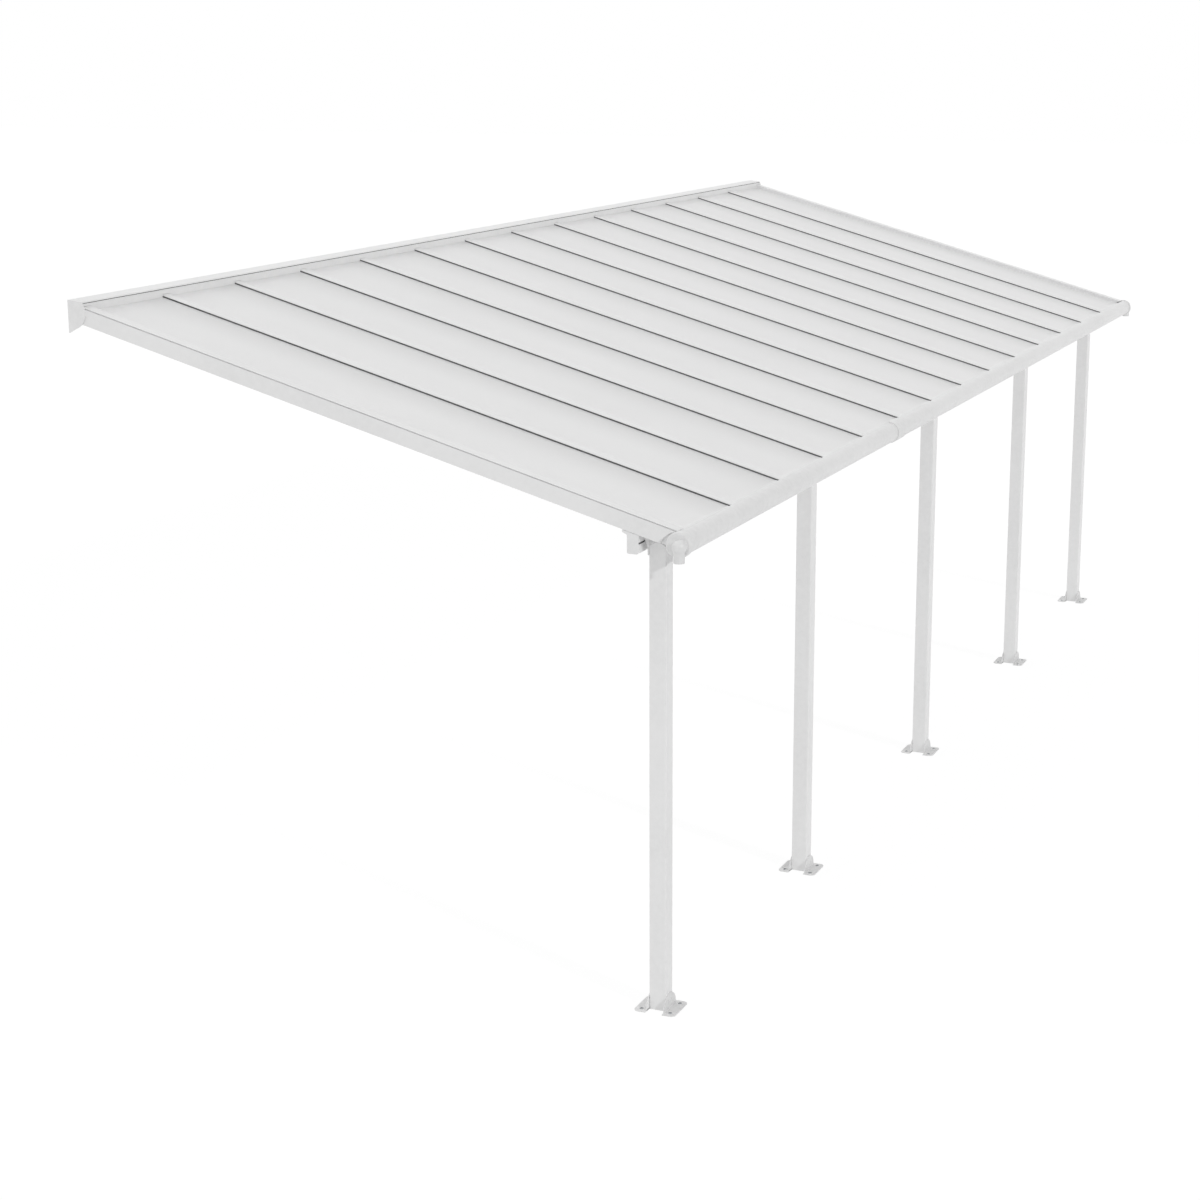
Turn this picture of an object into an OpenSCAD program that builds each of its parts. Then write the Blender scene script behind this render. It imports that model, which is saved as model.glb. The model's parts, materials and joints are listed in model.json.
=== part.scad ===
// Attached patio cover: a lean-to roof of twin-wall panels on an aluminium frame.
// X runs along the wall, Y points into the wall and Z is up. The origin lies on the wall
// face, at the centre of the wall profile's flat back. Lengths are in millimetres.

/* [Overall] */
// Distance from the centre of one rafter to the next
bay_w = 610; // [500:5:700]
// Height of the wall profile's centre above the ground
wall_h = 2792; // [2400:10:3100]
// Distance from the wall face to the gutter's centre
gutter_d = 2857; // [2200:5:3400]
// Fall of the roof plane from the wall face to the gutter's lip
roof_fall = 789; // [500:5:900]
// Height of the roof plane over the wall profile's centre, at the wall face
roof_over = 62; // [58:1:64]

/* [Roof members] */
// Width of a side beam
beam_w = 60; // [50:1:80]
// Depth of the side beams and of the rafters, square to the roof
beam_h = 75; // [65:1:90]
// Wall of the side beams and rafters
member_wall = 2.5; // [2:0.1:4]
// Width of a rafter's cap
cap_w = 50; // [40:1:60]
// Depth of a rafter's cap
cap_h = 11; // [8:0.5:14]
// Depth of the rafter caps' tops below the side beams' tops
cap_drop = 9; // [5:0.5:14]
// Width of a rafter's box under its ledge
web_w = 30; // [22:1:40]
// Width of a rafter's neck between two panels
neck_w = 12; // [8:0.5:16]

/* [Panels] */
// Thickness of a panel
panel_t = 10; // [6:0.5:16]
// Space between a panel's edge and a rafter's neck
panel_gap = 2; // [1:0.5:4]

/* [Wall profile] */
// Height of the wall profile
profile_h = 144; // [136:1:150]
// Depth of the wall profile from the wall to its front
profile_d = 87; // [80:1:95]
// Wall of the wall profile and its cover
profile_wall = 3; // [2:0.5:4]
// Fall of the cover from the wall to its front
cover_fall = 9; // [4:1:12]
// Height of the cover's lip at the front
lip_h = 11; // [8:1:16]
// Thickness of the wall profile's end caps
end_cap_t = 6; // [3:0.5:10]

/* [Gutter] */
// Outer radius of the gutter
gutter_r = 50; // [45:1:56]
// Wall of the gutter
gutter_wall = 2.5; // [2:0.1:4]
// Distance of the joint between the two lengths from the middle of the roof
seam_off = 1350; // [600:10:2400]
// Width of the joint's sleeve
seam_w = 60; // [40:1:100]
// Thickness of the joint's sleeve
seam_t = 2; // [1.5:0.5:4]
// Distance that the gutter stands past the side beams
gutter_over = 26; // [20:1:40]
// Outer radius of the gutter's end caps
end_r = 61; // [58:0.5:66]
// Outer radius of the outlets
outlet_r = 22; // [18:0.5:24]
// Wall of the outlets
outlet_wall = 3; // [2:0.5:4]
// Distance from the gutter's centre down to an outlet's mouth
outlet_drop = 70; // [66:1:120]

/* [Eave rail] */
// Thickness of the eave rail
rail_w = 50; // [40:1:60]
// Height of the eave rail's back
rail_h = 92; // [80:1:110]
// Distance from the rail's back face to the gutter's centre
rail_off = 227; // [220:1:240]
// Height of the slot in the rail's front
slot_h = 12; // [8:1:16]

/* [Posts] */
// Width of a post
post_w = 75; // [60:1:80]
// Wall of a post
post_wall = 2.5; // [2:0.1:4]
// Radius of a post's corners
post_corner = 5; // [3:0.5:8]
// Distance from the first post's centre to the side beam's outer face
post_inset = 84; // [60:1:200]
// Distance between the posts of the two outer spans
outer_span = 1815; // [1500:5:1900]
// Distance between the posts of the two inner spans
inner_span = 2080; // [1800:5:2150]
// Height of a post's round head
head_h = 28; // [24:1:36]

/* [Foot brackets] */
// Length of a foot bracket
foot_l = 150; // [130:1:200]
// Depth of a foot bracket's flange
foot_d = 50; // [40:1:70]
// Height of a foot bracket's upright plate
foot_h = 70; // [60:1:110]
// Thickness of a foot bracket
foot_t = 4; // [3:0.5:6]
// Radius of a foot bracket's round top
foot_top_r = 20; // [14:0.5:26]
// Distance between a foot bracket's two bolt holes
foot_pitch = 110; // [90:1:120]
// Radius of a bolt hole
bolt_r = 4.5; // [3.5:0.25:6.5]

/* [Hidden] */
$fn = 64;
bays = 14;
half_w = bays * bay_w / 2 + beam_w / 2;
slope = atan(roof_fall / gutter_d);
ground_z = -wall_h;
roof_end_d = gutter_d - 9;
gutter_z = roof_over - roof_fall - gutter_r;

// Depths below the roof plane, square to it
cap_top = -cap_drop;
panel_top = cap_top - cap_h;
panel_bottom = panel_top - panel_t;
ledge_bottom = panel_bottom - member_wall;

// Places across the slope, as distances from the wall face
lip_clear = 10;
recess_d = 30;
gutter_gap = 1;
web_t = 3;
web_drop = 30;
web_d = gutter_d - gutter_r + web_t / 2;
rail_back_d = gutter_d - rail_off;
rail_front_d = rail_back_d + rail_w;
rail_flange = 21;
post_d = (rail_front_d + web_d - web_t) / 2;
head_top_z = roof_z(post_d + post_w / 2) - beam_h / cos(slope) - 4;
post_top_z = head_top_z - head_h;

// Height of the roof plane at a distance from the wall face
function roof_z(d) = roof_over - d * roof_fall / gutter_d;

// Centre of rafter i along the wall; 0 and bays are the side beams
function rafter_x(i) = (i - bays / 2) * bay_w;

// Centre of post i along the wall
function post_x(i) =
    -half_w + post_inset
    + (i > 1 ? outer_span : 0)
    + (i > 2 ? inner_span : 0)
    + (i > 3 ? inner_span : 0)
    + (i > 4 ? outer_span : 0);

// Runs a profile drawn as [Y, Z] along the wall from x0 to x1
module along_wall(x0, x1) {
    translate([x0, 0, 0])
        rotate([90, 0, 90])
            linear_extrude(x1 - x0)
                children();
}

// Tilts what is drawn in the roof's own frame, with Z square to the roof
module on_roof() {
    translate([0, 0, roof_over])
        rotate([slope, 0, 0])
            children();
}

// Runs a profile drawn as [X, depth] down the slope, between two distances from the wall
module down_slope(d0, d1) {
    s0 = d0 / cos(slope);
    s1 = d1 / cos(slope);
    translate([0, -s0, 0])
        rotate([90, 0, 0])
            linear_extrude(s1 - s0)
                children();
}

// Part of a vertical section that lies lower than a depth below the roof plane
module under_roof(depth) {
    big = 4000;
    z0 = roof_over + depth / cos(slope);
    polygon([
        [0, z0], [-big, z0 - big * tan(slope)],
        [-big, -big], [profile_d, -big], [profile_d, z0 + profile_d * tan(slope)]
    ]);
}

module rounded_square(w, r) {
    square([w, w - 2 * r], center = true);
    square([w - 2 * r, w], center = true);
    for (x = [-1, 1], y = [-1, 1])
        translate([x * (w / 2 - r), y * (w / 2 - r)])
            circle(r = r);
}

// Section of the wall profile with its cover: flat at the wall, round in front
module profile_outline(inset) {
    front_r = 113.5;
    h = profile_h / 2;
    intersection() {
        translate([front_r - profile_d, h / 2])
            circle(r = front_r - inset, $fn = 128);
        polygon([
            [-inset, -h + inset], [-profile_d, -h + inset],
            [-profile_d, h - cover_fall - inset], [-inset, h - inset]
        ]);
    }
}

module panel(i) {
    w = bay_w - neck_w - 2 * panel_gap;
    x = (rafter_x(i - 1) + rafter_x(i)) / 2;
    color([0.9, 0.9, 0.9, 0.8])
        on_roof()
            down_slope(recess_d, roof_end_d - 4)
                translate([x - w / 2, panel_bottom])
                    square([w, panel_t]);
}

// Section of a rafter: a cap over the panels, a neck, a ledge and a hollow box
module rafter_top_section() {
    edge = 3;
    translate([0, cap_top])
        polygon([
            [-cap_w / 2, -cap_h], [cap_w / 2, -cap_h], [cap_w / 2, -edge],
            [cap_w / 2 - edge, 0], [-cap_w / 2 + edge, 0], [-cap_w / 2, -edge]
        ]);
    translate([-neck_w / 2, ledge_bottom])
        square([neck_w, panel_t + member_wall + 1]);
    translate([-cap_w / 2, ledge_bottom])
        square([cap_w, member_wall]);
}

module rafter_box_section() {
    box_h = beam_h + ledge_bottom;
    difference() {
        translate([-web_w / 2, -beam_h])
            square([web_w, box_h + 1]);
        translate([-web_w / 2 + member_wall, -beam_h + member_wall])
            square([web_w - 2 * member_wall, box_h - member_wall]);
    }
}

module rafter(i) {
    box_start = profile_d + lip_clear;
    box_end = web_d - web_t - gutter_gap - ledge_bottom * sin(slope);
    color("whitesmoke")
        on_roof()
            translate([rafter_x(i), 0, 0]) {
                down_slope(recess_d, roof_end_d)
                    rafter_top_section();
                down_slope(box_start, box_end)
                    rafter_box_section();
            }
}

// Section of a side beam, with the panel's groove in its inner side at +X
module side_beam_section() {
    groove_d = bay_w / 2 - beam_w / 2 - (bay_w - neck_w - 2 * panel_gap) / 2;
    inner = beam_w / 2;
    low_h = beam_h + panel_bottom - 2 * member_wall;
    difference() {
        translate([-inner, -beam_h])
            square([beam_w, beam_h]);
        translate([inner + groove_d - panel_gap / 2, panel_bottom])
            square([beam_w, panel_t]);
        translate([-inner + member_wall, -beam_h + member_wall])
            square([beam_w - 2 * member_wall, low_h]);
    }
}

module side_beam(side) {
    color("whitesmoke")
        difference() {
            on_roof()
                translate([side * rafter_x(bays), 0, 0])
                    mirror([side > 0 ? 1 : 0, 0, 0]) {
                        down_slope(recess_d, roof_end_d)
                            side_beam_section();
                    }
            along_wall(-half_w - 1, half_w + 1) {
                translate([-gutter_d, gutter_z])
                    circle(r = gutter_r + gutter_gap, $fn = 96);
                side_beam_wall_cut();
            }
        }
}

// Room for the wall profile's body under the upper part of a side beam
module side_beam_wall_cut() {
    intersection() {
        translate([-profile_d - lip_clear / 2, -profile_h])
            square([profile_d + lip_clear / 2, 2 * profile_h]);
        under_roof(ledge_bottom);
    }
}

module wall_profile() {
    color("white")
        along_wall(-half_w, half_w) {
            difference() {
                intersection() {
                    profile_outline(0);
                    under_roof(ledge_bottom);
                }
                intersection() {
                    profile_outline(profile_wall);
                    under_roof(ledge_bottom - profile_wall);
                }
            }
            translate([-profile_wall, 0])
                square([profile_wall, profile_h / 2 - 2 * profile_wall]);
        }
}

module wall_cover() {
    lip_top = profile_h / 2 - cover_fall;
    color("white")
        along_wall(-half_w, half_w)
            difference() {
                profile_outline(0);
                profile_outline(profile_wall);
                translate([-profile_d - 1, -profile_h])
                    square([profile_d - profile_wall, profile_h + lip_top - lip_h]);
                translate([-profile_wall - 1, -profile_h])
                    square([profile_wall + 2, profile_h + profile_h / 2 - 2 * profile_wall]);
            }
}

module wall_end_caps() {
    color("white")
        for (side = [-1, 1])
            translate([side * (half_w + end_cap_t / 2), 0, 0])
                along_wall(-end_cap_t / 2, end_cap_t / 2)
                    profile_outline(0);
}

// Round section of the gutter, open at the top between the lip and the back
module gutter_section(r_out, r_in) {
    translate([-gutter_d, gutter_z])
        difference() {
            circle(r = r_out, $fn = 96);
            circle(r = r_in, $fn = 96);
            square([r_out + 1, r_out + 1]);
        }
}

// Upright web at the gutter's back, which carries the rafters' ends
module gutter_web(x0, x1) {
    web_top = roof_z(web_d) + ledge_bottom / cos(slope);
    along_wall(x0, x1)
        translate([-web_d, gutter_z - web_drop])
            square([web_t, web_top - gutter_z + web_drop]);
}

module gutter_length(x0, x1, web_x0, web_x1) {
    color("gainsboro") {
        along_wall(x0, x1)
            gutter_section(gutter_r, gutter_r - gutter_wall);
        gutter_web(web_x0, web_x1);
    }
}

module gutter_left() {
    gutter_length(-half_w - gutter_over, -seam_off,
                  -half_w + beam_w + gutter_gap, -seam_off);
}

module gutter_right() {
    gutter_length(-seam_off, half_w + gutter_over,
                  -seam_off, half_w - beam_w - gutter_gap);
}

module gutter_joint() {
    color("gainsboro")
        along_wall(-seam_off - seam_w / 2, -seam_off + seam_w / 2)
            difference() {
                gutter_section(gutter_r + seam_t, gutter_r);
                translate([-gutter_d, gutter_z - gutter_r - seam_t])
                    square([2 * gutter_r, 3 * gutter_r]);
            }
}

// Cap over the gutter's end, with a bent outlet that turns down
module gutter_end(side) {
    fit = 0.3;
    cap_x = half_w + gutter_gap;
    wall_x = half_w + gutter_over;
    outlet_x = wall_x + end_cap_t + outlet_r;
    outlet_z = gutter_z + 10;
    bore_r = outlet_r - outlet_wall;
    color("gainsboro")
        mirror([side < 0 ? 1 : 0, 0, 0])
            difference() {
                union() {
                    translate([cap_x, -gutter_d, gutter_z])
                        rotate([0, 90, 0])
                            cylinder(r = end_r, h = wall_x + end_cap_t - cap_x);
                    translate([wall_x, -gutter_d, outlet_z])
                        rotate([0, 90, 0])
                            cylinder(r = outlet_r, h = outlet_x - wall_x);
                    translate([outlet_x, -gutter_d, outlet_z])
                        sphere(r = outlet_r);
                    translate([outlet_x, -gutter_d, gutter_z - outlet_drop])
                        cylinder(r = outlet_r, h = outlet_z - gutter_z + outlet_drop);
                }
                translate([cap_x - 1, -gutter_d, gutter_z])
                    rotate([0, 90, 0])
                        cylinder(r = gutter_r + fit, h = wall_x - cap_x + 1);
                translate([wall_x - 1, -gutter_d, outlet_z])
                    rotate([0, 90, 0])
                        cylinder(r = bore_r, h = outlet_x - wall_x + 1);
                translate([outlet_x, -gutter_d, outlet_z])
                    sphere(r = bore_r);
                translate([outlet_x, -gutter_d, gutter_z - outlet_drop - 1])
                    cylinder(r = bore_r, h = outlet_z - gutter_z + outlet_drop + 1);
            }
}

// Rail under the rafters: sloped top with a flange, and a slot along the front
module eave_rail() {
    top = -beam_h / cos(slope);
    back_z = roof_z(rail_back_d) + top;
    front_z = roof_z(rail_front_d) + top;
    bottom_z = back_z - rail_h;
    corner = 8;
    slot_z = front_z - 36;
    color("whitesmoke")
        along_wall(-half_w, half_w)
            difference() {
                polygon([
                    [-rail_back_d + rail_flange, back_z + rail_flange * tan(slope)],
                    [-rail_back_d + rail_flange, back_z + rail_flange * tan(slope) - 4],
                    [-rail_back_d, back_z - 5], [-rail_back_d, bottom_z],
                    [-rail_front_d, bottom_z], [-rail_front_d, front_z]
                ]);
                difference() {
                    translate([-rail_front_d - 1, bottom_z - 1])
                        square(corner + 1);
                    translate([-rail_front_d + corner, bottom_z + corner])
                        circle(r = corner);
                }
                translate([-rail_front_d - 1, slot_z])
                    square([15, slot_h]);
            }
}

module post(i) {
    color("whitesmoke")
        translate([post_x(i), -post_d, ground_z])
            linear_extrude(post_top_z - ground_z)
                difference() {
                    rounded_square(post_w, post_corner);
                    rounded_square(post_w - 2 * post_wall, post_corner - post_wall);
                }
}

// Round head of a post, with lugs that reach the eave rail and the gutter's web
module post_head(i) {
    arc_r = (pow(post_w / 2, 2) + pow(head_h / 2, 2)) / head_h;
    lug_w = 50;
    lug_h = 20;
    back_reach = post_d - rail_front_d;
    front_reach = web_d - web_t - post_d;
    translate([post_x(i), -post_d, 0]) {
        along_wall(-post_w / 2, post_w / 2) {
            translate([-post_w / 2, post_top_z])
                square([post_w, head_h / 2]);
            intersection() {
                translate([0, head_top_z - arc_r])
                    circle(r = arc_r, $fn = 128);
                translate([-post_w / 2, post_top_z])
                    square([post_w, head_h]);
            }
        }
        along_wall(-lug_w / 2, lug_w / 2)
            translate([-front_reach, post_top_z - lug_h + head_h / 2])
                square([front_reach - post_w / 2 + 1, lug_h]);
        along_wall(-lug_w / 2, lug_w / 2)
            translate([post_w / 2 - 1, post_top_z - lug_h + head_h / 2])
                square([back_reach - post_w / 2 + 1, lug_h]);
    }
}

module post_heads() {
    color("whitesmoke")
        for (i = [1:5])
            post_head(i);
}

// Angle bracket beside a post, with a round-topped plate and two bolt holes
module foot_bracket() {
    lean = 0.5;
    difference() {
        union() {
            translate([-foot_l / 2, -foot_d, 0])
                cube([foot_l, foot_d, foot_t]);
            rotate([90, 0, 0])
                linear_extrude(foot_t) {
                    polygon([
                        [-foot_l / 2, 0], [foot_l / 2, 0],
                        [foot_top_r * cos(30), foot_h - foot_top_r * lean],
                        [-foot_top_r * cos(30), foot_h - foot_top_r * lean]
                    ]);
                    translate([0, foot_h - foot_top_r])
                        circle(r = foot_top_r);
                }
        }
        for (x = [-1, 1])
            translate([x * foot_pitch / 2, -foot_d / 2 - foot_t / 2, -1])
                cylinder(r = bolt_r, h = foot_t + 2);
    }
}

module foot_brackets() {
    color("whitesmoke")
        for (i = [1:5], side = [0, 1])
            translate([post_x(i), -post_d, ground_z])
                rotate([0, 0, side * 180])
                    translate([0, -post_w / 2, 0])
                        foot_bracket();
}

panel(1);  // panel_1
panel(2);  // panel_2
panel(3);  // panel_3
panel(4);  // panel_4
panel(5);  // panel_5
panel(6);  // panel_6
panel(7);  // panel_7
panel(8);  // panel_8
panel(9);  // panel_9
panel(10);  // panel_10
panel(11);  // panel_11
panel(12);  // panel_12
panel(13);  // panel_13
panel(14);  // panel_14
rafter(1);  // rafter_1
rafter(2);  // rafter_2
rafter(3);  // rafter_3
rafter(4);  // rafter_4
rafter(5);  // rafter_5
rafter(6);  // rafter_6
rafter(7);  // rafter_7
rafter(8);  // rafter_8
rafter(9);  // rafter_9
rafter(10);  // rafter_10
rafter(11);  // rafter_11
rafter(12);  // rafter_12
rafter(13);  // rafter_13
side_beam(-1);  // side_beam_left
side_beam(1);  // side_beam_right
wall_profile();
wall_cover();
wall_end_caps();
gutter_left();
gutter_right();
gutter_joint();
gutter_end(-1);  // gutter_end_left
gutter_end(1);  // gutter_end_right
eave_rail();
post(1);  // post_1
post(2);  // post_2
post(3);  // post_3
post(4);  // post_4
post(5);  // post_5
post_heads();
foot_brackets();
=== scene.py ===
"""Attached patio cover: opal roof sheets, coated aluminium frame, gutter and posts."""

import json

import bpy
import numpy as np
from mathutils import Matrix, Vector


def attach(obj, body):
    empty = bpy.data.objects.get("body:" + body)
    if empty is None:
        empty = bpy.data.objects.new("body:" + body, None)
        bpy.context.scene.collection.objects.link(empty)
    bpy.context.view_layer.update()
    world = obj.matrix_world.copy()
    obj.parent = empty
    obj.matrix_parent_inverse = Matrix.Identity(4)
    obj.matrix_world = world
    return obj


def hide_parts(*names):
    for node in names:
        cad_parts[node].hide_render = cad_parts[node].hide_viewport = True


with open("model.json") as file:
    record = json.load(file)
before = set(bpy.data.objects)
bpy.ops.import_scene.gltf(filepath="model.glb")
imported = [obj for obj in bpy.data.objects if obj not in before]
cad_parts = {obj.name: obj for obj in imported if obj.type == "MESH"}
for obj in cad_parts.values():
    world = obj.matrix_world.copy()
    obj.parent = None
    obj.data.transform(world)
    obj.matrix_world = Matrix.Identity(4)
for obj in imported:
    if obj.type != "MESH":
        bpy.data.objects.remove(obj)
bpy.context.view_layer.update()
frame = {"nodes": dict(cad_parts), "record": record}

# Sizes shared with the frame, in metres
BAY = 0.610
BAYS = 14
BEAM_W = 0.060
BEAM_H = 0.075
HALF_W = BAYS * BAY / 2 + BEAM_W / 2
ROOF_OVER = 0.062
ROOF_FALL = 0.789
GUTTER_D = 2.857
GROUND = -2.792
SLOPE = np.arctan(ROOF_FALL / GUTTER_D)
CAP_TOP = -0.009
CAP_W = 0.050
CAP_H = 0.011
NECK_W = 0.012
PANEL_GAP = 0.002
PANEL_T = 0.010
PANEL_TOP = CAP_TOP - CAP_H
PANEL_BOTTOM = PANEL_TOP - PANEL_T
PANEL_W = BAY - NECK_W - 2 * PANEL_GAP
ROOF_START = 0.030
ROOF_END = GUTTER_D - 0.009
GUTTER_R = 0.050
GUTTER_Z = ROOF_OVER - ROOF_FALL - GUTTER_R
POST_W = 0.075
POST_X = (-4.216, -2.401, -0.321, 1.759, 3.574)
POST_D = 2.74275
BOLT_D = 0.027
FOOT_T = 0.004
FOOT_PITCH = 0.110
SEAM_X = -1.350
SLEEVE_X = -1.400

RAFTER_X = (np.arange(1, BAYS) - BAYS / 2) * BAY
PANEL_X = (np.arange(BAYS) + 0.5 - BAYS / 2) * BAY


# Materials

def linear(code):
    """The sRGB hex colour as linear RGBA: v/12.92 below 0.04045, else ((v+0.055)/1.055)^2.4."""
    v = np.array([int(code[i:i + 2], 16) for i in (1, 3, 5)]) / 255
    low = v / 12.92
    high = ((v + 0.055) / 1.055) ** 2.4
    return (*np.where(v <= 0.04045, low, high), 1.0)


def add(tree, kind, settings=None, **sockets):
    """Adds a node with its settings; each socket takes a value or a link from another node's output."""
    made = tree.nodes.new(kind)
    for key, value in (settings or {}).items():
        setattr(made, key, value)
    for key, value in sockets.items():
        name = key.replace("_", " ")
        target = made.inputs[int(key[1:])] if key[0] == "i" and key[1:].isdigit() else made.inputs[name]
        if isinstance(value, bpy.types.NodeSocket):
            tree.links.new(value, target)
        else:
            target.default_value = value
    return made


def new_material(name):
    """An empty node material, with its tree, output and Object coordinates."""
    material = bpy.data.materials.new(name)
    material.use_nodes = True
    tree = material.node_tree
    tree.nodes.clear()
    output = add(tree, "ShaderNodeOutputMaterial")
    place = add(tree, "ShaderNodeTexCoord").outputs["Object"]
    return material, tree, output, place


def coated(name, pale, shaded, grain, roughness, **fixed):
    """One colour that drifts to a second over about half a metre, with a fine grain in mm in its bump."""
    material, tree, output, place = new_material(name)
    drift = add(tree, "ShaderNodeTexNoise", Vector=place, Scale=2.2, Detail=3.0, Roughness=0.55)
    marks = add(tree, "ShaderNodeTexNoise", Vector=place, Scale=38.0, Detail=4.0, Roughness=0.6)
    amount = add(tree, "ShaderNodeMath", {"operation": "MULTIPLY"},
                 i0=drift.outputs["Fac"], i1=marks.outputs["Fac"])
    spread = add(tree, "ShaderNodeMapRange", Value=amount.outputs["Value"], From_Min=0.14, From_Max=0.42)
    colour = add(tree, "ShaderNodeMix", {"data_type": "RGBA"}, i0=spread.outputs["Result"],
                 i6=linear(pale), i7=linear(shaded))
    gloss = add(tree, "ShaderNodeMapRange", Value=marks.outputs["Fac"], From_Min=0.3, From_Max=0.7,
                To_Min=roughness - 0.04, To_Max=roughness + 0.05)
    peel = add(tree, "ShaderNodeTexNoise", Vector=place, Scale=1000 / grain, Detail=2.0, Roughness=0.5)
    bump = add(tree, "ShaderNodeBump", Height=peel.outputs["Fac"], Strength=0.25, Distance=0.0003)
    shader = add(tree, "ShaderNodeBsdfPrincipled", Base_Color=colour.outputs[2],
                 Roughness=gloss.outputs["Result"], Normal=bump.outputs["Normal"])
    for key, value in fixed.items():
        shader.inputs[key.replace("_", " ")].default_value = value
    tree.links.new(shader.outputs["BSDF"], output.inputs["Surface"])
    return material


def opal_sheet(name):
    """Extruded opal sheet: faint draw lines down the slope, light let through with a wide blur.

    Painted shade thickens toward the seal on the +X side of each bay, standing in for the rafter seen through
    the sheet: the bay's share is the fraction of (X + half the roof's length) / BAY, and the painted shade
    follows a smooth step of that share.
    """
    material, tree, output, place = new_material(name)
    lines_at = add(tree, "ShaderNodeMapping", Vector=place, Scale=(62.5, 0.4, 0.4))
    lines = add(tree, "ShaderNodeTexNoise", Vector=lines_at.outputs["Vector"], Scale=1.0, Detail=2.0,
                Roughness=0.5)
    film = add(tree, "ShaderNodeTexNoise", Vector=place, Scale=1.6, Detail=4.0, Roughness=0.6)
    spread = add(tree, "ShaderNodeMapRange", Value=film.outputs["Fac"], From_Min=0.35, From_Max=0.75)
    unshaded_tone = add(tree, "ShaderNodeMix", {"data_type": "RGBA"}, i0=spread.outputs["Result"],
                i6=linear("#FEFEFE"), i7=linear("#FBFBFB"))
    across = add(tree, "ShaderNodeSeparateXYZ", Vector=place).outputs["X"]
    bays = add(tree, "ShaderNodeMath", {"operation": "MULTIPLY_ADD"}, i0=across, i1=1 / BAY, i2=float(BAYS))
    share = add(tree, "ShaderNodeMath", {"operation": "FRACT"}, i0=bays.outputs["Value"])
    # Painted shade: the sheet darkens toward the rafter on the +X side of each bay, toward #F0F0F0
    painted_shade = add(tree, "ShaderNodeMapRange", {"interpolation_type": "SMOOTHSTEP"}, Value=share.outputs["Value"],
               From_Min=0.45, From_Max=1.0)
    colour = add(tree, "ShaderNodeMix", {"data_type": "RGBA"}, i0=painted_shade.outputs["Result"],
                 i6=unshaded_tone.outputs[2], i7=linear("#F0F0F0"))
    bump = add(tree, "ShaderNodeBump", Height=lines.outputs["Fac"], Strength=0.12, Distance=0.0004)
    shader = add(tree, "ShaderNodeBsdfPrincipled", Base_Color=colour.outputs[2], Roughness=0.38, IOR=1.58,
                 Normal=bump.outputs["Normal"])
    through = add(tree, "ShaderNodeBsdfTranslucent", Color=colour.outputs[2], Normal=bump.outputs["Normal"])
    sheet = add(tree, "ShaderNodeMixShader", i0=0.16, i1=shader.outputs["BSDF"], i2=through.outputs["BSDF"])
    tree.links.new(sheet.outputs[0], output.inputs["Surface"])
    return material


# Powder coat on extruded aluminium: even, satin, with a faint orange peel (2 mm waves, drawn at 6 mm)
FRAME_COAT = coated("powder_coated_aluminium", "#F2F2F2", "#ECECEC", 6, 0.42)
# The gutter's coat is a little glossier and picks up a grey film from the rain
GUTTER_COAT = coated("gloss_coated_gutter_aluminium", "#ECECEC", "#E4E4E4", 8, 0.34)
# Moulded PVC: slightly warmer, with a soft moulded sheen
CAP_PLASTIC = coated("moulded_white_pvc", "#F1F1F1", "#EAEAEA", 4, 0.36)
# Thick coat on bent steel plate: rougher, with a darker tone in patches
BRACKET_COAT = coated("powder_coated_steel", "#EDEDED", "#DDDDDD", 5, 0.5)
# Extruded rubber glazing seal: dark, matt, with a grey bloom
SEAL_RUBBER = coated("epdm_rubber", "#4A4B4C", "#5E5F60", 3, 0.7)
# Zinc-plated steel fixings: bright grey metal with cloudy plating
ZINC = coated("zinc_plated_steel", "#B9BBBD", "#8E9195", 2, 0.36, Metallic=1.0)
OPAL = opal_sheet("opal_twin_wall_polycarbonate")

SLOT_MATERIAL = {
    "frame_coat": FRAME_COAT,
    "gutter_coat": GUTTER_COAT,
    "cap_plastic": CAP_PLASTIC,
    "bracket_coat": BRACKET_COAT,
    "panel_sheet": OPAL,
}
for part in frame["record"]["subparts"]:
    shown = frame["nodes"][part["node"]].data.materials
    shown.clear()
    shown.append(SLOT_MATERIAL[part["material_slot"]])


# Shapes

def piece(name, points, faces, material, slot, stands_for=(), smooth=False):
    """Makes a mesh object at the origin from arrays of points and faces, riding on the one body."""
    mesh = bpy.data.meshes.new(name)
    faces = [np.asarray(f, int) for f in faces]
    mesh.from_pydata(np.asarray(points, float).reshape(-1, 3).tolist(), [],
                     [row.tolist() for block in faces for row in block])
    mesh.materials.append(material)
    mesh.polygons.foreach_set("use_smooth", np.full(len(mesh.polygons), smooth))
    mesh.update()
    made = bpy.data.objects.new(name, mesh)
    bpy.context.scene.collection.objects.link(made)
    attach(made, "root")
    if stands_for:
        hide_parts(*stands_for)
    return made


def roof_point(x, d, depth):
    """A place from X, level distance from the wall and depth square to the roof, turned by the slope."""
    x, d, depth = np.broadcast_arrays(x, d, depth)
    s = d / np.cos(SLOPE)
    y = -s * np.cos(SLOPE) - depth * np.sin(SLOPE)
    z = ROOF_OVER - s * np.sin(SLOPE) + depth * np.cos(SLOPE)
    return np.stack([x, y, z], -1)


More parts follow.
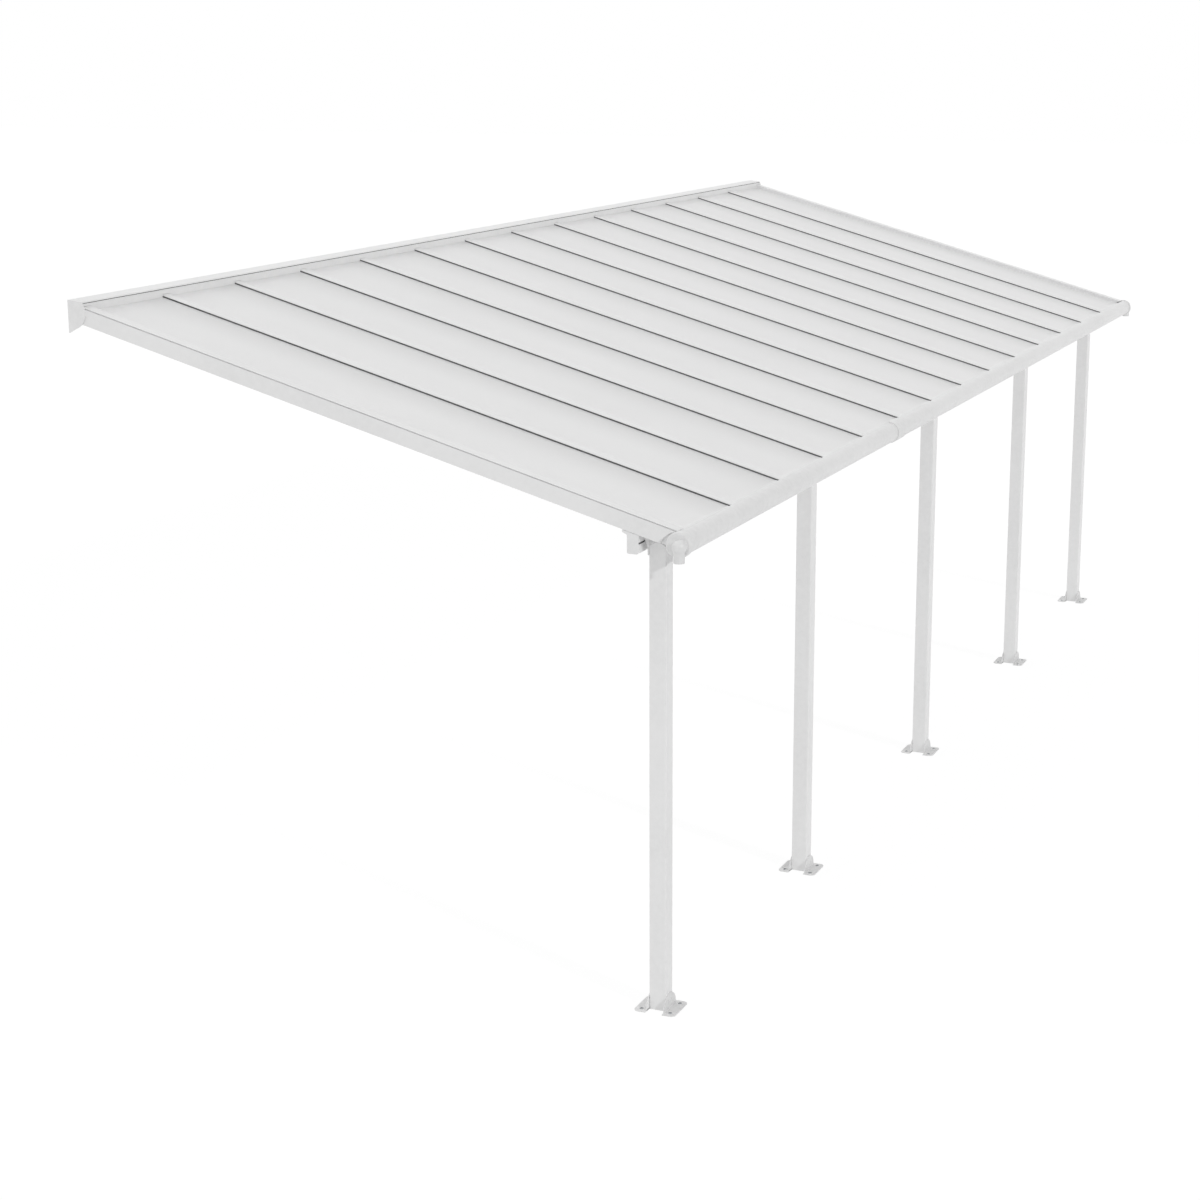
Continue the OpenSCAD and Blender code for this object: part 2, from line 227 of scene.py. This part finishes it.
def prisms(outline, centres, start, end, lay):
    """Copies of one closed outline (counter-clockwise) at several centres, each run from start to end.

    Ring k holds the outline's points at one end of one copy; sides join matching points, and each end is one
    face.
    """
    outline = np.asarray(outline, float)
    n = len(outline)
    m = len(centres)
    across = np.asarray(centres, float)[:, None, None] + outline[None, None, :, 0]
    along = np.array([start, end])[None, :, None]
    points = lay(across, along, outline[None, None, :, 1]).reshape(-1, 3)
    base = (np.arange(m) * 2 * n)[:, None, None]
    i = np.arange(n)
    j = (i + 1) % n
    sides = base + np.stack([i, j, j + n, i + n], -1)[None]
    ends = base[:, :, 0] + np.arange(n)[None]
    return points, [sides.reshape(-1, 4), ends[:, ::-1], ends + n]


def twin_wall(x, walls, skin, rib):
    """Points and faces of one hollow sheet: two skins and upright ribs at even spacing, open at both ends.

    Columns lie at the two faces of each rib, rows at the four faces of the skins. Outer faces join all
    columns, inner faces only those between ribs, and the end faces leave the channels out.
    """
    ribs = np.linspace(-PANEL_W / 2, PANEL_W / 2 - rib, walls)
    columns = np.stack([ribs, ribs + rib], -1).ravel() + x
    rows = np.array([PANEL_BOTTOM, PANEL_BOTTOM + skin, PANEL_TOP - skin, PANEL_TOP])
    reach = np.array([ROOF_START, ROOF_END - 0.004])
    points = roof_point(columns[None, None, :], reach[:, None, None], rows[None, :, None])
    m = len(columns)
    at = np.arange(2 * 4 * m).reshape(2, 4, m)
    near, far = at[0], at[1]

    def strip(a, b, c, d):
        return np.stack([a, b, c, d], -1).reshape(-1, 4)

    gap = np.arange(1, m - 1, 2)
    solid = np.arange(0, m, 2)
    faces = [
        strip(near[3, :-1], far[3, :-1], far[3, 1:], near[3, 1:]),
        strip(near[0, 1:], far[0, 1:], far[0, :-1], near[0, :-1]),
        strip(near[:-1, 0], far[:-1, 0], far[1:, 0], near[1:, 0]),
        strip(near[1:, -1], far[1:, -1], far[:-1, -1], near[:-1, -1]),
        strip(near[2, gap + 1], far[2, gap + 1], far[2, gap], near[2, gap]),
        strip(near[1, gap], far[1, gap], far[1, gap + 1], near[1, gap + 1]),
        strip(near[2, gap], far[2, gap], far[1, gap], near[1, gap]),
        strip(near[1, gap + 1], far[1, gap + 1], far[2, gap + 1], near[2, gap + 1]),
    ]
    for side, flip in ((near, 1), (far, -1)):
        for row in (0, 2):
            skin_end = strip(side[row, :-1], side[row + 1, :-1], side[row + 1, 1:], side[row, 1:])
            faces.append(skin_end[:, ::flip])
        rib_end = strip(side[1, solid], side[2, solid], side[2, solid + 1], side[1, solid + 1])
        faces.append(rib_end[:, ::flip])
    return points, faces


def joined(parts):
    """Several (points, faces) as one: each part's face numbers move up by the points before it."""
    points, faces, count = [], [], 0
    for p, fs in parts:
        p = np.asarray(p).reshape(-1, 3)
        points.append(p)
        faces.extend(np.asarray(f) + count for f in fs)
        count += len(p)
    return np.concatenate(points), faces


def turned(rings, sides=24):
    """A body turned about Z: ring k has the radius and height of rings[k], closed at both ends."""
    rings = np.asarray(rings, float)
    angle = np.arange(sides) * 2 * np.pi / sides
    x = rings[:, :1] * np.cos(angle)
    y = rings[:, :1] * np.sin(angle)
    z = np.broadcast_to(rings[:, 1:2], x.shape)
    at = np.arange(x.size).reshape(x.shape)
    nxt = np.roll(at, -1, 1)
    around = np.stack([at[:-1], nxt[:-1], nxt[1:], at[1:]], -1).reshape(-1, 4)
    return np.stack([x, y, z], -1).reshape(-1, 3), [around, at[:1, ::-1], at[-1:]]


def placed(shape, spots, axis=(0, 0, 1)):
    """Copies of a shape turned so that its Z points along an axis, at each spot."""
    turn = np.array(Vector(axis).to_track_quat("Z", "Y").to_matrix())
    points, faces = shape
    return joined([(points @ turn.T + np.asarray(spot), faces) for spot in spots])


def box_section(left, right, low, high):
    """Corners of an upright rectangle, counter-clockwise from the lower left."""
    return [(left, low), (right, low), (right, high), (left, high)]


def level_section(shape, d, z):
    """A section as (y, z), from places (toward the wall, up) about a place d before the wall."""
    return [(-d + a, z + b) for a, b in shape]


def along_wall(section, runs):
    """A section of (y, z), counter-clockwise seen from +X, run along X between each pair of ends in runs."""
    section = np.asarray(section, float)
    n = len(section)
    i = np.arange(n)
    j = (i + 1) % n
    sides = np.stack([i, j, j + n, i + n], -1)
    parts = []
    for start, end in runs:
        rings = [np.column_stack([np.full(n, x), section]) for x in (start, end)]
        parts.append((np.concatenate(rings), [sides, i[None, ::-1], i[None] + n]))
    return joined(parts)


def level_point(x, d, z):
    """From X, level distance from the wall and height to a place."""
    x, d, z = np.broadcast_arrays(x, d, z)
    return np.stack([x, -d, z], -1)


def level_plates(shape, centres, low, high):
    """Level plates: one outline (counter-clockwise from above) about each X in centres, between two heights."""
    n = len(shape)
    i = np.arange(n)
    j = (i + 1) % n
    sides = np.stack([i, j, j + n, i + n], -1)
    parts = []
    for x in centres:
        rings = [np.column_stack([shape + [x, 0], np.full(n, z)]) for z in (low, high)]
        parts.append((np.concatenate(rings), [sides, i[None, ::-1], i[None] + n]))
    return joined(parts)


def roof_z(d):
    """Height of the roof plane at a level distance from the wall."""
    return ROOF_OVER - d * ROOF_FALL / GUTTER_D


def arc(centre, r, start, end, steps):
    """Places on a circle from a start to an end angle in degrees: centre + r * (cos, sin)."""
    at = np.radians(np.linspace(start, end, steps))
    return np.stack([centre[0] + r * np.cos(at), centre[1] + r * np.sin(at)], -1).tolist()


def meeting(h, centre, r, far):
    """Distance from the wall where the line at depth h under the roof plane meets a circle.

    With z = ROOF_OVER - h - m d, the circle about (d, z) gives a square equation in d; far takes its larger
    root, and where the line misses the circle the result is not a number.
    """
    m = ROOF_FALL / GUTTER_D
    q = ROOF_OVER - h - centre[1]
    half = centre[0] + m * q
    rest = half ** 2 - (1 + m * m) * (centre[0] ** 2 + q ** 2 - r ** 2)
    root = np.sqrt(np.maximum(rest, 0)) * (1 if far else -1)
    return np.where(rest > 0, (half + root) / (1 + m * m), np.nan)


def beam_band(high, low, cope, cope_r):
    """Side view of a beam between two depths: round to the profile at the wall, coped round the gutter."""
    h = np.linspace(high, low, 28)
    profile_end = meeting(h, (-ROUND[0], ROUND[1]), PROFILE_R + 0.001, True)
    wall_end = np.where(h < LEDGE, ROOF_START, np.fmax(profile_end, ROOF_START))
    front_end = np.fmin(meeting(h, cope, cope_r, False), ROOF_END)
    back = np.stack([-wall_end, roof_z(wall_end) - h], -1)
    fore = np.stack([-front_end, roof_z(front_end) - h], -1)
    return np.concatenate([back[::-1], fore])


def screw_head(r, height, recess=0.4):
    """A low domed head with a recess: rings rise as height * sqrt(1 - (radius / r)^2), then dip inside."""
    share = np.array([1.0, 0.96, 0.85, 0.68, recess])
    rings = [(r * q, height * np.sqrt(max(0, 1 - q * q)) + 0.0003) for q in share]
    rings = [(r, 0)] + rings + [(r * recess * 0.9, height * 0.35), (r * recess * 0.5, height * 0.3)]
    return turned(rings, 16)


# Roof sheets: 10 mm twin-wall, 38 ribs about 16 mm apart
RIBS = 38
SKIN_T = 0.0008
RIB_T = 0.0006
for number, x in enumerate(PANEL_X, 1):
    points, faces = twin_wall(x, RIBS, SKIN_T, RIB_T)
    piece(f"opal_sheet_{number}", points, faces, OPAL, "panel_sheet", [f"panel_{number}"])

# Rubber seals under the edges of the rafter caps: a soft lip that shows 2 mm past the cap
LIP = 0.0022
SEAL = [(0, 0), (LIP, 0.0004), (LIP, 0.0036), (0.0004, 0.0058), (-0.006, 0.0058), (-0.006, 0)]
SEAL_RUN = (0.040, ROOF_END - 0.006)
right = np.array(SEAL) + [CAP_W / 2, PANEL_TOP]
left = right[::-1] * [-1, 1]
piece("cap_seals", *joined([prisms(half, RAFTER_X, *SEAL_RUN, roof_point) for half in (right, left)]),
      SEAL_RUBBER, "frame_coat")

# End plates of the rafter caps, 1 mm wider and higher than the caps
side_x = CAP_W / 2 + 0.001
bevel_x = CAP_W / 2 - 0.003
plate = [(-side_x, PANEL_TOP), (side_x, PANEL_TOP), (side_x, CAP_TOP - 0.002),
         (bevel_x, CAP_TOP + 0.001), (-bevel_x, CAP_TOP + 0.001), (-side_x, CAP_TOP - 0.002)]
piece("cap_end_plates", *prisms(plate, RAFTER_X, ROOF_END - 0.0005, ROOF_END + 0.003, roof_point),
      CAP_PLASTIC, "cap_plastic")

# Strips that close the sheets' channels at the eave
STRIP_T = 0.0012
edge_in = PANEL_W / 2 - 0.001
closing = box_section(-edge_in, edge_in, PANEL_BOTTOM - STRIP_T, PANEL_TOP + STRIP_T)
piece("sheet_closing_strips", *prisms(closing, PANEL_X, ROOF_END - 0.018, ROOF_END - 0.0025, roof_point),
      FRAME_COAT, "frame_coat")

# End covers of the wall profile: flat back, sloping top and a round front
PROFILE_TOP = 0.072
COVER_BACK = 0.066
PROFILE_R = 0.075
ROUND = (-0.012, 0.017)
END_T = 0.006
front = arc(ROUND, PROFILE_R, 140.8, 252.2, 40)
piece("wall_end_covers",
      *along_wall([(0, PROFILE_TOP)] + front + [(-0.003, -PROFILE_TOP), (0, -PROFILE_TOP)],
                  [(-HALF_W - END_T, -HALF_W), (HALF_W, HALF_W + END_T)]),
      CAP_PLASTIC, "cap_plastic", ["wall_end_caps"])

# Body of the wall profile: cut off by the slope under the sheets, and flat below
LEDGE = 0.0337
BODY_D = 0.086
BODY_LOW = -0.048
body = [(0, COVER_BACK), (-0.003, COVER_BACK), (-0.003, roof_z(0.003) - LEDGE)]
body += [(-BODY_D, roof_z(BODY_D) - LEDGE)] + arc(ROUND, PROFILE_R, 189.6, 225, 20) + [(0, BODY_LOW)]
piece("wall_profile_body", *along_wall(body, [(-HALF_W, HALF_W)]), FRAME_COAT, "frame_coat", ["wall_profile"])

# Cover of the wall profile, with a leg that is shorter over the side beams
LEG_D = 0.072
LEG_T = 0.003
LIP_LOW = 0.059
LEG_LOW = 0.0346
LEG_LOW_SIDE = 0.0439
COVER_T = 0.003


def cover(leg_end):
    """Section of the cover: a thin top, a lip along the front's arc and a leg that ends at a height."""
    top = [(0, PROFILE_TOP)] + arc(ROUND, PROFILE_R, 140.8, 145.9, 4) + [(-0.0741, LIP_LOW), (-LEG_D, LIP_LOW)]
    leg = [(-LEG_D, leg_end), (-LEG_D + LEG_T, leg_end), (-LEG_D + LEG_T, 0.0619)]
    return top + leg + [(-COVER_T, 0.0687), (-COVER_T, COVER_BACK), (0, COVER_BACK)]


inner_x = HALF_W - BEAM_W - 0.001
piece("wall_cover_strip", *joined([
    along_wall(cover(LEG_LOW), [(-inner_x, inner_x)]),
    along_wall(cover(LEG_LOW_SIDE), [(-HALF_W, -inner_x), (inner_x, HALF_W)]),
]), FRAME_COAT, "frame_coat", ["wall_cover"])

# Side beams in layers, each with its reach in from the outer face, its depths under the roof plane and its
# cope: a line 3 mm wide in the outer face, a wide cope outside, a close one inside, and the sheets' groove
BEAM_LOW = 0.0778
GROOVE_D = 0.008
LINE_H = 0.003
WIDE = ((2.848, -0.812), 0.082)
CLOSE = ((GUTTER_D, GUTTER_Z), 0.051)
LAYERS = [
    (0, GROOVE_D, 0, LINE_H, WIDE), (0, GROOVE_D, 2 * LINE_H, BEAM_LOW, WIDE),
    (GROOVE_D, 0.009, 0, BEAM_LOW, WIDE), (0.009, 0.036, 0, BEAM_LOW, CLOSE),
    (0.036, BEAM_W, 0, -PANEL_TOP / np.cos(SLOPE), CLOSE),
    (0.036, BEAM_W, -PANEL_BOTTOM / np.cos(SLOPE), BEAM_LOW, CLOSE),
]
for side, word in ((-1, "left"), (1, "right")):
    parts = []
    for near, far, high, low, cope in LAYERS:
        ends = sorted((side * (HALF_W - near), side * (HALF_W - far)))
        parts.append(along_wall(beam_band(high, low, *cope), [ends]))
    piece(f"side_beam_{word}_shape", *joined(parts), FRAME_COAT, "frame_coat", [f"side_beam_{word}"])

# Sleeve round the front of the gutter over its joint
SLEEVE_R = 0.054
SLEEVE_HALF = 0.075
middle = (-GUTTER_D, GUTTER_Z)
sleeve = arc(middle, SLEEVE_R, 90, 270, 40) + arc(middle, GUTTER_R, 270, 90, 40)
piece("gutter_sleeve", *along_wall(sleeve, [(SLEEVE_X - SLEEVE_HALF, SLEEVE_X + SLEEVE_HALF)]),
      GUTTER_COAT, "gutter_coat", ["gutter_joint"])

# Gutter ends, as rings of (radius, height): a cap with a round rim, a domed elbow and a short pipe down
ELBOW_R = 0.028
PIPE_R = 0.023
BORE_R = 0.020
PIPE_LOW = -0.064
ELBOW_D = 0.017
rim = [(0.0535, 0), (0.0535, 0.021), (0.053, 0.0245), (0.0516, 0.0272), (0.0493, 0.0288), (0.0458, 0.0294)]
rise = np.radians(np.linspace(0, 85, 10))
dome = np.stack([ELBOW_R * np.cos(rise), ELBOW_R * np.sin(rise)], -1).tolist()
elbow = [(BORE_R, -0.030), (BORE_R, PIPE_LOW), (PIPE_R, PIPE_LOW), (PIPE_R, -0.020), (0.0255, -0.016),
         (ELBOW_R, -0.012)] + dome
stub = [(ELBOW_R, 0), (ELBOW_R, 0.027)]
elbow_y = -GUTTER_D - ELBOW_D
elbow_z = GUTTER_Z - 0.001
for side, word in ((-1, "left"), (1, "right")):
    piece(f"gutter_cap_{word}", *joined([
        placed(turned(rim, 72), [(side * (HALF_W + 0.001), -GUTTER_D - 0.003, GUTTER_Z)], (side, 0, 0)),
        placed(turned(elbow, 48), [(side * (HALF_W + 0.052), elbow_y, elbow_z)]),
        placed(turned(stub, 48), [(side * (HALF_W + 0.025), elbow_y, elbow_z)], (side, 0, 0)),
    ]), GUTTER_COAT, "gutter_coat", [f"gutter_end_{word}"])

# White comb strips under the cover's leg, one over each sheet
COMB_GAP = 0.0004
leg_low = roof_z(LEG_D - LEG_T) + CAP_TOP / np.cos(SLOPE) + 0.001
sheet_top = PANEL_TOP / np.cos(SLOPE) + COMB_GAP
comb_out = -LEG_D + COMB_GAP
comb_in = -LEG_D + LEG_T - COMB_GAP
comb = [(comb_out, roof_z(LEG_D) + sheet_top), (comb_in, roof_z(LEG_D - LEG_T) + sheet_top),
        (comb_in, leg_low + 0.0003), (comb_out, leg_low + 0.0003)]
comb_half = BAY / 2 - CAP_W / 2 - 0.0005
comb_runs = [(max(x - comb_half, -inner_x), min(x + comb_half, inner_x)) for x in PANEL_X]
piece("cover_comb_strips", *along_wall(comb, comb_runs), CAP_PLASTIC, "cap_plastic")

# Dark seal in the groove between the cover's lip and its leg
seal = level_section(box_section(-0.0014, 0.0002, -0.0028, -0.0002), LEG_D, LIP_LOW)
piece("cover_lip_seal", *along_wall(seal, [(-HALF_W + 0.001, HALF_W - 0.001)]), SEAL_RUBBER, "frame_coat")

# Rolled bead along the gutter's lip, a tube drawn with 20 sides, in two lengths as the gutter
BEAD_R = 0.005
BEAD_END = HALF_W + 0.0255
SEAM_GAP = 0.0004
turns = np.arange(20) * 2 * np.pi / 20
ring = np.stack([np.cos(turns), np.sin(turns)], -1) * BEAD_R
bead = level_section(ring, GUTTER_D, GUTTER_Z + GUTTER_R - BEAD_R - 0.0002)
piece("gutter_lip_bead",
      *along_wall(bead, [(-BEAD_END, SEAM_X - SEAM_GAP), (SEAM_X + SEAM_GAP, BEAD_END)]),
      GUTTER_COAT, "gutter_coat", smooth=True)

# Eave rail: a flange toward the wall under the rafters, round lower corners and a slot in front
RAIL_BACK = GUTTER_D - 0.227
RAIL_FRONT = RAIL_BACK + 0.050
RAIL_H = 0.092
RAIL_R = 0.008
FLANGE = 0.021
SLOT_D = 0.014
SLOT_H = 0.008
SLOT_DROP = 0.039
beam_low = -BEAM_H / np.cos(SLOPE)
back_top = roof_z(RAIL_BACK) + beam_low
front_top = roof_z(RAIL_FRONT) + beam_low
rail_low = back_top - RAIL_H
tip_top = back_top + FLANGE * ROOF_FALL / GUTTER_D
upper = [(-RAIL_FRONT, front_top - 0.001), (-RAIL_BACK + FLANGE, tip_top - 0.001),
         (-RAIL_BACK + FLANGE, tip_top - 0.010), (-RAIL_BACK, back_top - 0.015)]
lower = arc((-RAIL_BACK - RAIL_R, rail_low + RAIL_R), RAIL_R, 0, -90, 6)
lower += arc((-RAIL_FRONT + RAIL_R, rail_low + RAIL_R), RAIL_R, -90, -180, 6)
slot_low = front_top - SLOT_DROP
slot = [(-RAIL_FRONT, slot_low), (-RAIL_FRONT + SLOT_D, slot_low), (-RAIL_FRONT + SLOT_D, slot_low + SLOT_H),
        (-RAIL_FRONT, slot_low + SLOT_H)]
piece("eave_rail_shape", *along_wall((upper + lower + slot)[::-1], [(-HALF_W, HALF_W)]),
      FRAME_COAT, "frame_coat", ["eave_rail"])

# Dark strip deep in the rail's slot, painted shade that makes the slot read darker, and plates over the rail's
# ends
strip = box_section(-RAIL_FRONT + 0.003, -RAIL_FRONT + SLOT_D - 0.001, slot_low, slot_low + SLOT_H - 0.0002)
piece("rail_slot_painted_shade", *along_wall(strip, [(-HALF_W + 0.0002, HALF_W - 0.0002)]), SEAL_RUBBER, "frame_coat")
near_x = HALF_W + 0.0001
far_x = HALF_W + 0.002
piece("rail_end_plates", *along_wall((upper + lower)[::-1], [(-far_x, -near_x), (near_x, far_x)]),
      CAP_PLASTIC, "cap_plastic")

# Round post heads: an arc 75 mm deep and 17 mm high, with a plate and a curved wing toward the wall
HEAD_LOW = -0.8156
HEAD_R = 0.0499
HEAD_MIDDLE = -0.8409
half_post = POST_W / 2
head = [(-POST_D - half_post, HEAD_LOW), (-POST_D + half_post, HEAD_LOW)]
head += arc((-POST_D, HEAD_MIDDLE), HEAD_R, 41.3, 138.7, 25)
plate = level_section(box_section(half_post, half_post + 0.006, 0, 0.034), POST_D, -0.845)
wing = level_section([(-0.001, -0.022), (0.006, -0.012), (0.012, 0), (0.017, 0.016), (0.019, 0.036),
                      (-0.001, 0.030)], POST_D - half_post, -0.800)
piece("post_head_shapes", *joined([
    along_wall(head, [(x - half_post, x + half_post) for x in POST_X]),
    along_wall(plate, [(x - half_post + 0.001, x + half_post - 0.001) for x in POST_X]),
    along_wall(wing, [(x - half_post + 0.0005, x - half_post + 0.0035) for x in POST_X]),
]), CAP_PLASTIC, "cap_plastic", ["post_heads"])

# Foot brackets: a half-round upright plate and a flange with rounded outer corners
UPRIGHT_R = 0.067
UPRIGHT_TOP = 0.066
FLANGE_HALF = 0.083
FLANGE_D = 0.055
FLANGE_R = 0.022
at = np.radians(np.linspace(0, 180, 41))
half_round = np.stack([UPRIGHT_R * np.cos(at), FOOT_T + UPRIGHT_TOP * np.sin(at)], -1)
half_round = np.concatenate([[(-UPRIGHT_R, 0), (UPRIGHT_R, 0)], half_round]) + [0, GROUND]
right_end = arc((FLANGE_HALF - FLANGE_R, FLANGE_D - FLANGE_R), FLANGE_R, 0, 90, 9)
flange = np.concatenate([[(-FLANGE_HALF, 0), (FLANGE_HALF, 0)], right_end, np.array(right_end)[::-1] * [-1, 1]])
brackets = []
for side in (-1, 1):
    outer, inner = sorted((POST_D + side * half_post, POST_D + side * (half_post + FOOT_T)))
    brackets.append(prisms(half_round, POST_X, outer, inner, level_point))
    shape = (flange * [1, -side] + [0, -POST_D - side * half_post])[::-side]
    brackets.append(level_plates(shape, POST_X, GROUND, GROUND + FOOT_T))
piece("foot_bracket_shapes", *joined(brackets), BRACKET_COAT, "bracket_coat", ["foot_brackets"])

# Anchor screws in the flanges, and painted screws in the upright plates
foot_spots = [
    (x + dx, -POST_D + side * (half_post + BOLT_D), GROUND + FOOT_T)
    for x in POST_X for side in (-1, 1) for dx in (-FOOT_PITCH / 2, FOOT_PITCH / 2)
]
piece("foot_anchor_screws", *placed(screw_head(0.0085, 0.0028, 0.5), foot_spots), ZINC, "bracket_coat")
for side, word in ((-1, "front"), (1, "back")):
    plate_y = -POST_D + side * (half_post + FOOT_T)
    spots = [(x + dx, plate_y, GROUND + 0.038) for x in POST_X for dx in (-0.018, 0.018)]
    piece(f"bracket_screws_{word}", *placed(screw_head(0.0042, 0.0018), spots, (0, side, 0)),
          BRACKET_COAT, "bracket_coat")

# Screws up through the eave rail into each rafter and side beam
beam_x = HALF_W - BEAM_W / 2
rail_spots = [(x, -(RAIL_BACK + 0.025), rail_low) for x in np.append(RAFTER_X, [-beam_x, beam_x])]
piece("rail_screws", *placed(screw_head(0.006, 0.0024), rail_spots, (0, 0, -1)), ZINC, "frame_coat")

# Blind rivets through the joint's sleeve, two rows on the front of the round
RIVET_X = 0.055
rivets = []
for angle in np.radians([160, 205]):
    out = np.array([0, np.cos(angle), np.sin(angle)])
    sunk = out * (SLEEVE_R - 0.0002)
    spots = [np.array([SLEEVE_X + dx, -GUTTER_D, GUTTER_Z]) + sunk for dx in (-RIVET_X, RIVET_X)]
    rivets.append(placed(screw_head(0.0036, 0.0012, 0.3), spots, out))
piece("gutter_joint_rivets", *joined(rivets), GUTTER_COAT, "gutter_coat", smooth=True)

# Camera at the photograph's place and angle
yaw, pitch, roll = np.radians([23.7085, 13.7087, -0.3289])
forward = np.array([np.cos(pitch) * np.cos(yaw), np.cos(pitch) * np.sin(yaw), -np.sin(pitch)])
level = np.array([np.sin(yaw), -np.cos(yaw), 0])
upright = np.cross(level, forward)
side_axis = np.cos(roll) * level + np.sin(roll) * upright
up_axis = -np.sin(roll) * level + np.cos(roll) * upright
camera = bpy.data.objects.new("camera", bpy.data.cameras.new("camera"))
bpy.context.scene.collection.objects.link(camera)
turn = Matrix(np.stack([side_axis, up_axis, -forward], 1).tolist()).to_4x4()
camera.matrix_world = Matrix.Translation((-12.7186, -6.2080, 1.2070)) @ turn
camera.data.sensor_width = 36
camera.data.lens = 1.95692 * 36
camera.data.clip_end = 200
bpy.context.scene.camera = camera

# Soft key light from the front left
sun = bpy.data.objects.new("key", bpy.data.lights.new("key", "SUN"))
sun.data.energy = 0.90
sun.data.angle = np.radians(1.2)
sun.rotation_euler = Vector((1.268, 2.614, -1.45)).to_track_quat("-Z", "Y").to_euler()
bpy.context.scene.collection.objects.link(sun)


def seen_directly(tree):
    """1 for camera, glossy and transmission rays, 0 for the rest."""
    path = add(tree, "ShaderNodeLightPath").outputs
    seen = add(tree, "ShaderNodeMath", {"operation": "ADD"}, i0=path["Is Camera Ray"], i1=path["Is Glossy Ray"])
    seen = add(tree, "ShaderNodeMath", {"operation": "ADD", "use_clamp": True}, i0=seen.outputs["Value"],
               i1=path["Is Transmission Ray"])
    return seen.outputs["Value"]


# World: an even pale studio, seen as white directly, in reflections and through the sheets
world = bpy.data.worlds.new("studio")
bpy.context.scene.world = world
world.use_nodes = True
tree = world.node_tree
tree.nodes.clear()
output = add(tree, "ShaderNodeOutputWorld")
seen = seen_directly(tree)
place = add(tree, "ShaderNodeTexCoord").outputs["Generated"]
toward = add(tree, "ShaderNodeSeparateXYZ", Vector=place).outputs
above = add(tree, "ShaderNodeMapRange", {"interpolation_type": "SMOOTHSTEP"}, Value=toward["Z"],
            From_Min=-0.1, From_Max=0.06)
from_back = add(tree, "ShaderNodeMapRange", Value=toward["Y"], To_Min=0.15, To_Max=1.13)
from_top = add(tree, "ShaderNodeMapRange", Value=toward["Z"], To_Max=0.57)
from_left = add(tree, "ShaderNodeMapRange", Value=toward["X"], From_Min=0.0, From_Max=-1.0, To_Max=0.06)
sky = add(tree, "ShaderNodeMath", {"operation": "ADD"}, i0=from_back.outputs["Result"],
          i1=from_top.outputs["Result"])
sky = add(tree, "ShaderNodeMath", {"operation": "ADD"}, i0=sky.outputs["Value"],
          i1=from_left.outputs["Result"])
level_at = add(tree, "ShaderNodeMix", i0=above.outputs["Result"], i2=0.80, i3=sky.outputs["Value"])
fill = add(tree, "ShaderNodeBackground", Color=(1, 1, 1, 1), Strength=level_at.outputs[0])
white = add(tree, "ShaderNodeBackground", Color=(1, 1, 1, 1), Strength=1.0)
mix = add(tree, "ShaderNodeMixShader", i0=seen, i1=fill.outputs[0], i2=white.outputs[0])
tree.links.new(mix.outputs[0], output.inputs["Surface"])

# Floor: seen as white with the object's soft shadow, lights the object as pale ground would
material, tree, output, place = new_material("pale_studio_floor")
seen = seen_directly(tree)
pale = add(tree, "ShaderNodeBsdfDiffuse", Color=(0.8, 0.8, 0.8, 1))
shadow = add(tree, "ShaderNodeBsdfDiffuse", Color=(1, 1, 1, 1))
glow = add(tree, "ShaderNodeEmission", Color=(1, 1, 1, 1), Strength=1.04)
lit = add(tree, "ShaderNodeMixShader", i0=0.14, i1=glow.outputs[0], i2=shadow.outputs[0])
mix = add(tree, "ShaderNodeMixShader", i0=seen, i1=pale.outputs[0], i2=lit.outputs[0])
tree.links.new(mix.outputs[0], output.inputs["Surface"])
floor_mesh = bpy.data.meshes.new("floor")
reach = 70.0
corners = [(x, y, GROUND) for x, y in box_section(-reach, reach, -reach, reach)]
floor_mesh.from_pydata(corners, [], [(0, 1, 2, 3)])
floor_mesh.materials.append(material)
floor = bpy.data.objects.new("floor", floor_mesh)
bpy.context.scene.collection.objects.link(floor)
floor.visible_diffuse = False

bpy.context.scene.view_settings.view_transform = "Standard"
